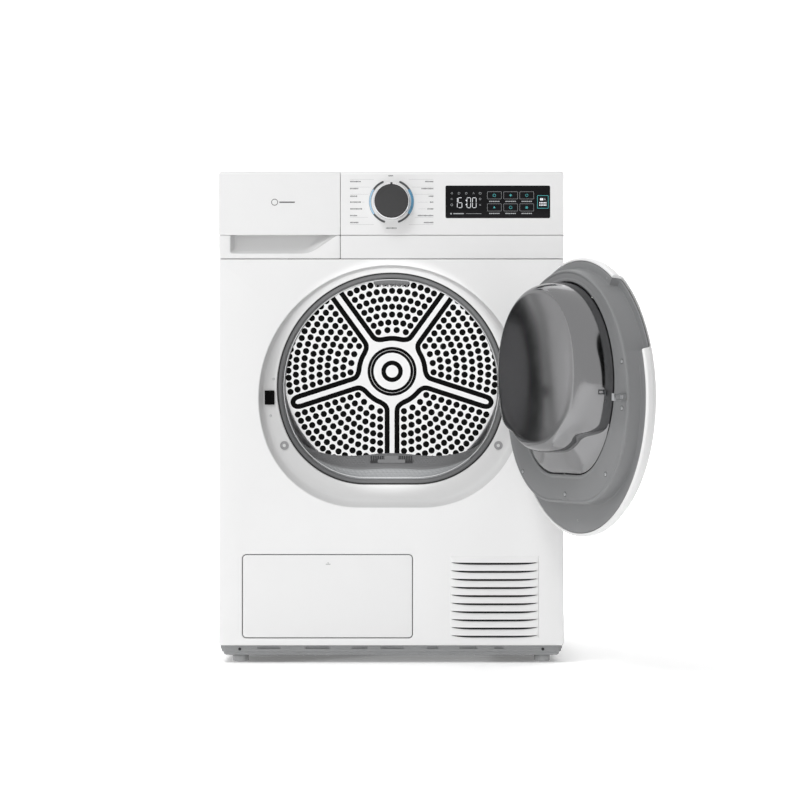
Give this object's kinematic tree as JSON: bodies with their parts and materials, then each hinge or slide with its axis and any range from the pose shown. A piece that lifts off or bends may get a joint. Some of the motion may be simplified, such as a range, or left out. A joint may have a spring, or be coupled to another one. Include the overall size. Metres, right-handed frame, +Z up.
{
  "type": "clothes dryer",
  "caption": "Free-standing front-loading heat pump clothes dryer with its round door standing open, drum, drive, filter, water tank drawer and service flap.",
  "frame": {"origin": "on the floor, at the middle of the whole footprint with the door standing open", "axes": "+Z up, +Y from the front of the cabinet to its back, +X to the right seen from the front"},
  "size_m": [0.7212, 1.0024, 0.85],
  "materials": {
    "white_enamel": "smooth gloss enamel",
    "white_plastic": "satin",
    "light_grey_plastic": "fine texture",
    "grey_plastic": "fine texture",
    "black_plastic": "fine texture",
    "black_glass": "polished",
    "smoked_mirror": "mirror coated",
    "stainless_steel": "brushed",
    "zinc_steel": "zinc plated",
    "aluminium": "mill",
    "dark_knob": "metallic satin",
    "silver_rim": "bright metallic",
    "blue_light_guide": "translucent",
    "rubber": "matt",
    "felt": "felt",
    "black_painted_steel": "satin"
  },
  "bodies": {
    "cabinet": {"base_tray": "grey_plastic", "left_side_panel": "white_enamel", "right_side_panel": "white_enamel", "rear_panel": "white_enamel", "rear_duct_cover": "zinc_steel", "worktop": "white_plastic", "front_panel": "white_enamel", "control_fascia": "white_plastic", "display_window": "black_glass", "selector_light_ring": "blue_light_guide", "exchanger_cover": "light_grey_plastic", "evaporator": "aluminium", "condenser": "aluminium", "compressor": "black_painted_steel", "fan_shroud": "black_plastic", "door_recess": "white_plastic", "latch_catch": "black_plastic", "recess_bumper_left": "rubber", "recess_bumper_right": "rubber", "hinge_bracket": "zinc_steel", "front_bulkhead": "grey_plastic", "filter_duct": "light_grey_plastic", "drum_front_seal": "felt", "filter_grille": "light_grey_plastic", "rear_bearing": "black_painted_steel", "drum_belt": "rubber", "motor": "black_painted_steel", "blower_housing": "grey_plastic", "cord_gland": "black_plastic"},
    "drum": {"drum_shell": "stainless_steel", "drum_back": "stainless_steel", "drum_shaft": "zinc_steel", "drum_lifter_1": "light_grey_plastic", "drum_lifter_2": "light_grey_plastic", "drum_lifter_3": "light_grey_plastic"},
    "motor_rotor": {"motor_pulley": "zinc_steel", "blower_wheel": "black_plastic"},
    "tensioner": {"tensioner_arm": "zinc_steel"},
    "tensioner_wheel": {"tensioner_wheel": "black_plastic"},
    "roller_left": {"drum_roller_left": "rubber"},
    "roller_right": {"drum_roller_right": "rubber"},
    "fan": {"cooling_fan": "black_plastic"},
    "knob": {"knob_rim": "silver_rim", "knob_cap": "dark_knob"},
    "tank": {"tank_front": "white_plastic", "water_tank": "light_grey_plastic"},
    "flap": {"service_flap": "white_plastic"},
    "lever_left": {"cover_lever_left": "grey_plastic"},
    "lever_right": {"cover_lever_right": "grey_plastic"},
    "filter": {"lint_filter": "light_grey_plastic"},
    "door": {"door_outer_ring": "white_plastic", "door_window": "black_glass", "door_inner_frame": "grey_plastic", "door_bowl": "smoked_mirror", "hinge_leaf": "zinc_steel", "latch_hook": "zinc_steel"},
    "foot_fl": {"foot_front_left": "light_grey_plastic"},
    "foot_fr": {"foot_front_right": "light_grey_plastic"},
    "foot_rl": {"foot_rear_left": "light_grey_plastic"},
    "foot_rr": {"foot_rear_right": "light_grey_plastic"}
  },
  "joints": [
    {"name": "door_hinge", "type": "hinge", "parent": "cabinet", "child": "door", "pos_m": [0.1654, -0.0768, 0.4585], "axis": [0, 0, 1], "range_deg": [-115, 40]},
    {"name": "drum_spin", "type": "hinge", "parent": "cabinet", "child": "drum", "pos_m": [-0.0601, 0.2392, 0.508], "axis": [0, 1, 0], "continuous": true},
    {"name": "motor_spin", "type": "hinge", "parent": "cabinet", "child": "motor_rotor", "pos_m": [0.1199, 0.2392, 0.135], "axis": [0, 1, 0], "continuous": true},
    {"name": "roller_left_spin", "type": "hinge", "parent": "cabinet", "child": "roller_left", "pos_m": [-0.21185, 0.0592, 0.24516], "axis": [0, 1, 0], "continuous": true},
    {"name": "roller_right_spin", "type": "hinge", "parent": "cabinet", "child": "roller_right", "pos_m": [0.09165, 0.0592, 0.24516], "axis": [0, 1, 0], "continuous": true},
    {"name": "tensioner_swing", "type": "hinge", "parent": "cabinet", "child": "tensioner", "pos_m": [0.00946, 0.2572, 0.10186], "axis": [0, -1, 0], "range_deg": [0, 30], "stiffness_Nm_per_rad": 0.6, "springref_deg": -28.65},
    {"name": "tensioner_wheel_spin", "type": "hinge", "parent": "tensioner", "child": "tensioner_wheel", "pos_m": [-0.00054, 0.2442, 0.15386], "axis": [0, 1, 0], "continuous": true},
    {"name": "fan_spin", "type": "hinge", "parent": "cabinet", "child": "fan", "pos_m": [0.1179, -0.0228, 0.118], "axis": [0, 1, 0], "continuous": true},
    {"name": "knob_turn", "type": "hinge", "parent": "cabinet", "child": "knob", "pos_m": [-0.0598, -0.0608, 0.7956], "axis": [0, -1, 0], "continuous": true},
    {"name": "tank_slide", "type": "slide", "parent": "cabinet", "child": "tank", "axis": [0, -1, 0], "range_m": [0, 0.36]},
    {"name": "flap_hinge", "type": "hinge", "parent": "cabinet", "child": "flap", "pos_m": [-0.1701, -0.0548, 0.0503], "axis": [1, 0, 0], "range_deg": [0, 75]},
    {"name": "lever_left_turn", "type": "hinge", "parent": "cabinet", "child": "lever_left", "pos_m": [-0.2751, -0.0408, 0.116], "axis": [0, -1, 0], "range_deg": [0, 90]},
    {"name": "lever_right_turn", "type": "hinge", "parent": "cabinet", "child": "lever_right", "pos_m": [-0.0701, -0.0408, 0.116], "axis": [0, 1, 0], "range_deg": [0, 90]},
    {"name": "filter_slide", "type": "slide", "parent": "cabinet", "child": "filter", "axis": [0, 0, 1], "range_m": [0, 0.14]},
    {"name": "foot_fl_screw", "type": "slide", "parent": "cabinet", "child": "foot_fl", "axis": [0, 0, -1], "range_m": [0, 0.012]},
    {"name": "foot_fr_screw", "type": "slide", "parent": "cabinet", "child": "foot_fr", "axis": [0, 0, -1], "range_m": [0, 0.012]},
    {"name": "foot_rl_screw", "type": "slide", "parent": "cabinet", "child": "foot_rl", "axis": [0, 0, -1], "range_m": [0, 0.012]},
    {"name": "foot_rr_screw", "type": "slide", "parent": "cabinet", "child": "foot_rr", "axis": [0, 0, -1], "range_m": [0, 0.012]}
  ],
  "couplings": [
    {"joint": "motor_spin", "follows": "drum_spin", "ratio": 27.427},
    {"joint": "roller_left_spin", "follows": "drum_spin", "ratio": -12.782},
    {"joint": "roller_right_spin", "follows": "drum_spin", "ratio": -12.782},
    {"joint": "tensioner_wheel_spin", "follows": "drum_spin", "ratio": -15.694}
  ]
}
